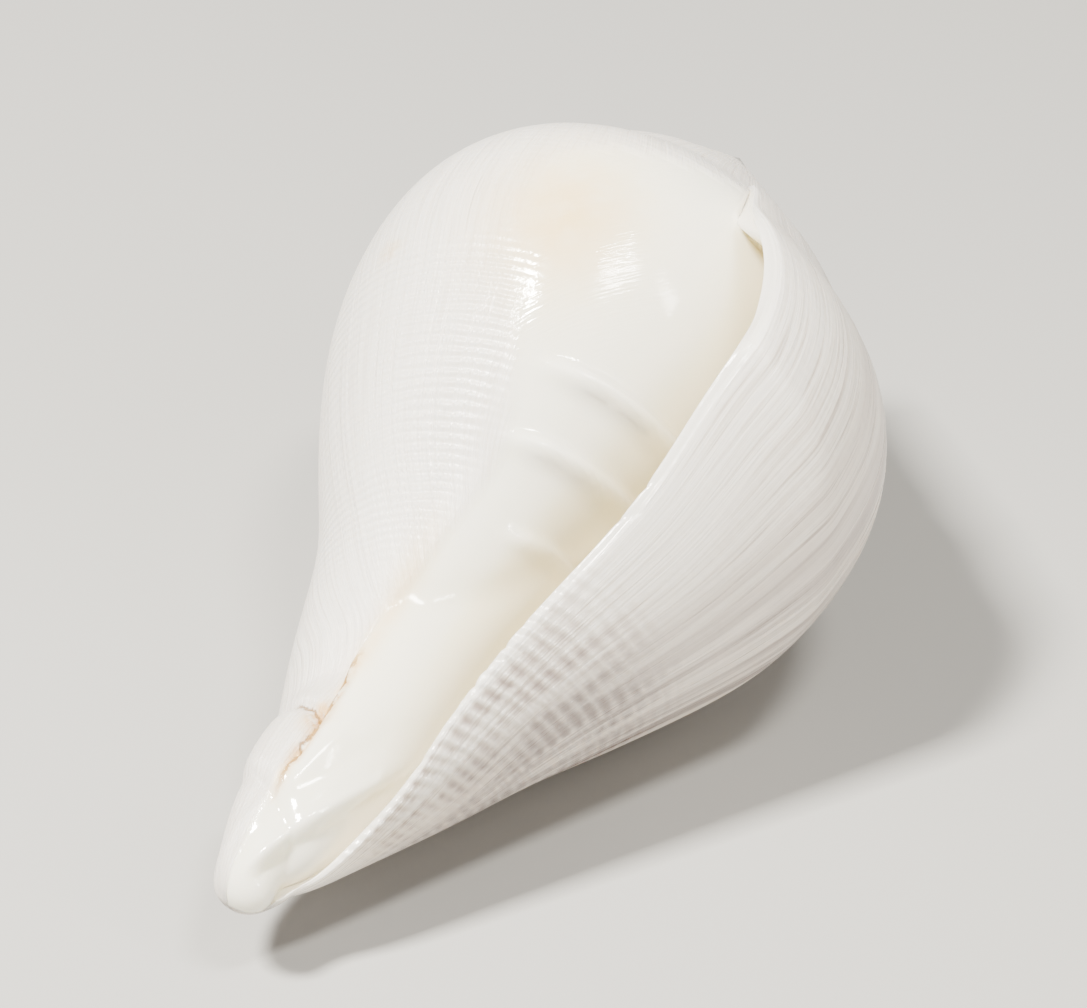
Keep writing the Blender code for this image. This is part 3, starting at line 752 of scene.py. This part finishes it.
    # Broad streaks on the side that faces down are darkened: mostly painted shade, partly the shell's
    # own mauve tint there
    streaky = window(tree, lines["broad"], 0.36, 0.62, 1.0, 1.5)
    painted_underside_shade = window(tree, course, *PAINTED_SHADE_COURSES)
    painted_underside_shade = maths(tree, "MULTIPLY", maths(tree, "MULTIPLY", painted_underside_shade, streaky), 0.75)
    outer = blended(tree, painted_underside_shade, outer, linear(shell.painted_shade_colour))
    colour = blended(tree, glaze, outer, linear(shell.glaze_colour))
    cloudy = maths(tree, "MULTIPLY", peach, window(tree, ripple, -0.6, 0.7, 1.0, 1.5))
    colour = blended(tree, cloudy, colour, linear(shell.peach_colour))
    colour = blended(tree, inside, colour, linear(shell.inside_colour))
    around = window(tree, maths(tree, "ABSOLUTE", chink), *HAZE_EDGES)
    around = maths(tree, "MULTIPLY", maths(tree, "MULTIPLY", around, cracked), 0.75)
    hazy = maths(tree, "MULTIPLY", maths(tree, "MAXIMUM", haze, around),
                 window(tree, jitter, -0.5, 0.2, 2.0, 3.0))
    colour = blended(tree, hazy, colour, linear(shell.haze_colour))
    colour = blended(tree, maths(tree, "MULTIPLY", hairline, 0.85), colour, linear(shell.crack_colour))
    tree.links.new(colour, surface.inputs["Base Color"])

    gloss = add_node(tree, "ShaderNodeMapRange",
                     {0: glaze, 3: shell.outer_roughness, 4: shell.glaze_roughness})
    uneven = maths(tree, "MULTIPLY", lines["fine"], 0.08)
    tree.links.new(maths(tree, "ADD", gloss.outputs[0], uneven), surface.inputs["Roughness"])
    tree.links.new(bumped.outputs[0], surface.inputs["Normal"])
    surface.inputs["IOR"].default_value = REFRACTION
    surface.inputs["Subsurface Weight"].default_value = SCATTER_SHARE
    surface.inputs["Subsurface Radius"].default_value = SCATTER_COLOUR
    surface.inputs["Subsurface Scale"].default_value = SCATTER_REACH
    return material


def shell_mesh(shell):
    """Make the shell's mesh with the places and tints that its surface is drawn from."""
    skin = build_skin(shell)
    mesh = bpy.data.meshes.new("chank_shell")
    mesh.from_pydata(lay_down(skin.points, shell).tolist(), [], skin.faces)
    height = np.array(skin.heights)
    angle = np.array(skin.angles)
    side = np.array(skin.sides)
    values = (
        ("place", "FLOAT_VECTOR", "CORNER", "vector", np.array(skin.places)),
        ("tints", "FLOAT_VECTOR", "POINT", "vector", tints_at(angle, height, side)),
        ("cracks", "FLOAT_VECTOR", "POINT", "vector", cracks_at(angle, height, side)),
        ("glaze", "FLOAT", "POINT", "value", glaze_at(angle, height, side)),
    )
    for name, kind, domain, field, data in values:
        layer = mesh.attributes.new(name=name, type=kind, domain=domain)
        layer.data.foreach_set(field, np.ravel(data).astype(np.float32))
    mesh.update()
    mesh.shade_smooth()
    if mesh.validate(clean_customdata=False):
        raise RuntimeError("the shell's mesh has faces that had to be repaired")
    return mesh


class ChankShellSettings(bpy.types.PropertyGroup):
    """Sizes and colours of the shell."""

    length: bpy.props.FloatProperty(
        name="Length", description="Point of the spire to tip of the canal",
        default=0.12, min=0.05, max=0.3, subtype="DISTANCE", unit="LENGTH")
    lip_thickness: bpy.props.FloatProperty(
        name="Lip Thickness", description="Thickness of the outer lip's edge",
        default=0.001, min=0.0005, max=0.003, precision=4, subtype="DISTANCE", unit="LENGTH")
    wall_thickness: bpy.props.FloatProperty(
        name="Wall Thickness", description="Thickness of the last whorl well behind the lip",
        default=0.0034, min=0.001, max=0.006, precision=4, subtype="DISTANCE", unit="LENGTH")
    wear_depth: bpy.props.FloatProperty(
        name="Wear Depth", description="How deep the back is worn flat where the shell lies",
        default=0.0006, min=0.0, max=0.001, precision=4, subtype="DISTANCE", unit="LENGTH")
    glaze_colour: bpy.props.StringProperty(
        name="Glaze Colour", description="Porcelain white of the callus, in sRGB hex",
        default="FCF4E2")
    outer_colour: bpy.props.StringProperty(
        name="Outer Colour", description="Rubbed-down outer layer, in sRGB hex",
        default="F3EBE1")
    line_colour: bpy.props.StringProperty(
        name="Line Colour", description="Hollows of the growth lines, in sRGB hex",
        default="BEB2A8")
    # Colour of the painted shade in the grooves between the spiral cords and on the side that faces
    # down, where it is partly the lip's own mauve
    painted_shade_colour: bpy.props.StringProperty(
        name="Cord Colour", description="Grooves between the spiral cords, in sRGB hex",
        default="7C6863")
    peach_colour: bpy.props.StringProperty(
        name="Peach Colour", description="Warm tint under the thin callus, in sRGB hex",
        default="F7D6A2")
    inside_colour: bpy.props.StringProperty(
        name="Inside Colour", description="Cream of the aperture's depth, in sRGB hex",
        default="FAEFD2")
    haze_colour: bpy.props.StringProperty(
        name="Haze Colour", description="Ochre that has soaked in beside the cracks, in sRGB hex",
        default="DFA93A")
    crack_colour: bpy.props.StringProperty(
        name="Crack Colour", description="Dirt in the hairline cracks, in sRGB hex",
        default="9C7230")
    glaze_roughness: bpy.props.FloatProperty(
        name="Glaze Roughness", description="Roughness of the polished glaze",
        default=0.07, min=0.0, max=1.0, subtype="FACTOR")
    outer_roughness: bpy.props.FloatProperty(
        name="Outer Roughness", description="Roughness of the rubbed-down outer layer",
        default=0.24, min=0.0, max=1.0, subtype="FACTOR")


class ChankStudioSettings(bpy.types.PropertyGroup):
    """The floor and the light around the shell."""

    floor_colour: bpy.props.StringProperty(
        name="Floor Colour", description="Pale matte floor, in sRGB hex", default="A8A6A2")
    key_power: bpy.props.FloatProperty(
        name="Key Power", description="Power of the light above and left of the shell",
        default=29.0, min=0.0, subtype="POWER", unit="POWER")
    top_power: bpy.props.FloatProperty(
        name="Top Power", description="Power of the light straight above the shell",
        default=7.0, min=0.0, subtype="POWER", unit="POWER")
    side_power: bpy.props.FloatProperty(
        name="Side Power", description="Power of the light on the lip's side",
        default=3.0, min=0.0, subtype="POWER", unit="POWER")
    room_light: bpy.props.FloatProperty(
        name="Room Light", description="Brightness of the light that comes from all around",
        default=0.22, min=0.0)


class OBJECT_OT_chank_shell(bpy.types.Operator):
    """Build the polished chank shell"""

    bl_idname = "object.chank_shell"
    bl_label = "Chank Shell"
    bl_options = {"REGISTER", "UNDO"}

    def execute(self, context):
        shell = context.scene.chank_shell
        mesh = shell_mesh(shell)
        mesh.materials.append(shell_material(shell))
        piece = bpy.data.objects.new("chank_shell", mesh)
        context.scene.collection.objects.link(piece)
        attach(piece, "root")
        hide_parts("shell")
        return {"FINISHED"}


# The camera and the lights, in metres and degrees
CAMERA_PLACE = (0.14400, -0.28555, 0.25925)
CAMERA_TURN = (54.373, -3.137, 28.798)
CAMERA_LENS = 114.9       # mm, on a sensor 36 mm wide
FLOOR_SIZE = 6.0
FLOOR_DROP = 0.0001       # keeps the floor clear of the worn flat
AIM_HEIGHT = 0.03         # the lights face the middle of the shell
LIGHT_DISTANCE = 0.8
# Name, azimuth, elevation, width and height, colour. A light's power is a setting of its name.
LIGHTS = (
    ("key", -120.0, 60.0, (0.1, 0.13), "FFFCF4"),
    ("top", -30.0, 68.0, (0.2, 0.08), "FFFCF4"),
    ("side", -8.0, 36.0, (0.03, 0.5), "FFF9F0"),
)
ROOM_COLOUR = "F4F6FA"


def add_light(name, azimuth, elevation, size, tint, power):
    """Add a soft light, width by height, that faces the shell. Azimuth is anticlockwise from +X."""
    light = bpy.data.lights.new(name, "AREA")
    light.shape = "RECTANGLE"
    light.size, light.size_y = size
    light.energy = power
    light.color = linear(tint)[:3]
    lamp = bpy.data.objects.new(name, light)
    turn = math.radians(azimuth)
    rise = math.radians(elevation)
    level = math.cos(rise)
    toward = Vector((level * math.cos(turn), level * math.sin(turn), math.sin(rise)))
    lamp.location = Vector((0.0, 0.0, AIM_HEIGHT)) + toward * LIGHT_DISTANCE
    lamp.rotation_euler = toward.to_track_quat("Z", "Y").to_euler()
    bpy.context.scene.collection.objects.link(lamp)


def floor_material(studio):
    """Matte studio board, plain and smooth."""
    material = bpy.data.materials.new("matte_studio_board")
    material.use_nodes = True
    tree = material.node_tree
    surface = tree.nodes["Principled BSDF"]
    surface.inputs["Base Color"].default_value = linear(studio.floor_colour)
    surface.inputs["Roughness"].default_value = 0.8
    return material


class SCENE_OT_chank_studio(bpy.types.Operator):
    """Add the floor, the lights and the camera"""

    bl_idname = "scene.chank_studio"
    bl_label = "Chank Studio"
    bl_options = {"REGISTER", "UNDO"}

    def execute(self, context):
        studio = context.scene.chank_studio
        half = 0.5 * FLOOR_SIZE
        mesh = bpy.data.meshes.new("studio_floor")
        corners = [(-half, -half, 0.0), (half, -half, 0.0), (half, half, 0.0), (-half, half, 0.0)]
        mesh.from_pydata(corners, [], [(0, 1, 2, 3)])
        mesh.materials.append(floor_material(studio))
        floor = bpy.data.objects.new("studio_floor", mesh)
        floor.location.z = -FLOOR_DROP
        context.scene.collection.objects.link(floor)

        for name, *place in LIGHTS:
            add_light(name + "_light", *place, getattr(studio, name + "_power"))
        world = bpy.data.worlds.new("studio_room")
        world.use_nodes = True
        background = world.node_tree.nodes["Background"]
        background.inputs["Color"].default_value = linear(ROOM_COLOUR)
        background.inputs["Strength"].default_value = studio.room_light
        context.scene.world = world

        lens = bpy.data.cameras.new("camera")
        lens.lens = CAMERA_LENS
        lens.clip_start = 0.01
        camera = bpy.data.objects.new("camera", lens)
        camera.location = CAMERA_PLACE
        camera.rotation_euler = [math.radians(angle) for angle in CAMERA_TURN]
        context.scene.collection.objects.link(camera)
        context.scene.camera = camera
        return {"FINISHED"}


class VIEW3D_PT_chank_shell(bpy.types.Panel):
    """Lists the shell's and the studio's settings"""

    bl_idname = "VIEW3D_PT_chank_shell"
    bl_label = "Chank Shell"
    bl_space_type = "VIEW_3D"
    bl_region_type = "UI"
    bl_category = "Chank Shell"

    def draw(self, context):
        layout = self.layout
        groups = (
            (context.scene.chank_shell, OBJECT_OT_chank_shell),
            (context.scene.chank_studio, SCENE_OT_chank_studio),
        )
        for settings, operator in groups:
            box = layout.box()
            for name in settings.__annotations__:
                box.prop(settings, name)
            box.operator(operator.bl_idname)


CLASSES = (
    ChankShellSettings,
    ChankStudioSettings,
    OBJECT_OT_chank_shell,
    SCENE_OT_chank_studio,
    VIEW3D_PT_chank_shell,
)


def register():
    for each in CLASSES:
        bpy.utils.register_class(each)
    bpy.types.Scene.chank_shell = bpy.props.PointerProperty(type=ChankShellSettings)
    bpy.types.Scene.chank_studio = bpy.props.PointerProperty(type=ChankStudioSettings)


def unregister():
    del bpy.types.Scene.chank_studio
    del bpy.types.Scene.chank_shell
    for each in reversed(CLASSES):
        bpy.utils.unregister_class(each)


def main():
    """Register the classes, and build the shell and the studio."""
    register()
    bpy.ops.object.chank_shell()
    bpy.ops.scene.chank_studio()


if __name__ == "__main__":
    main()
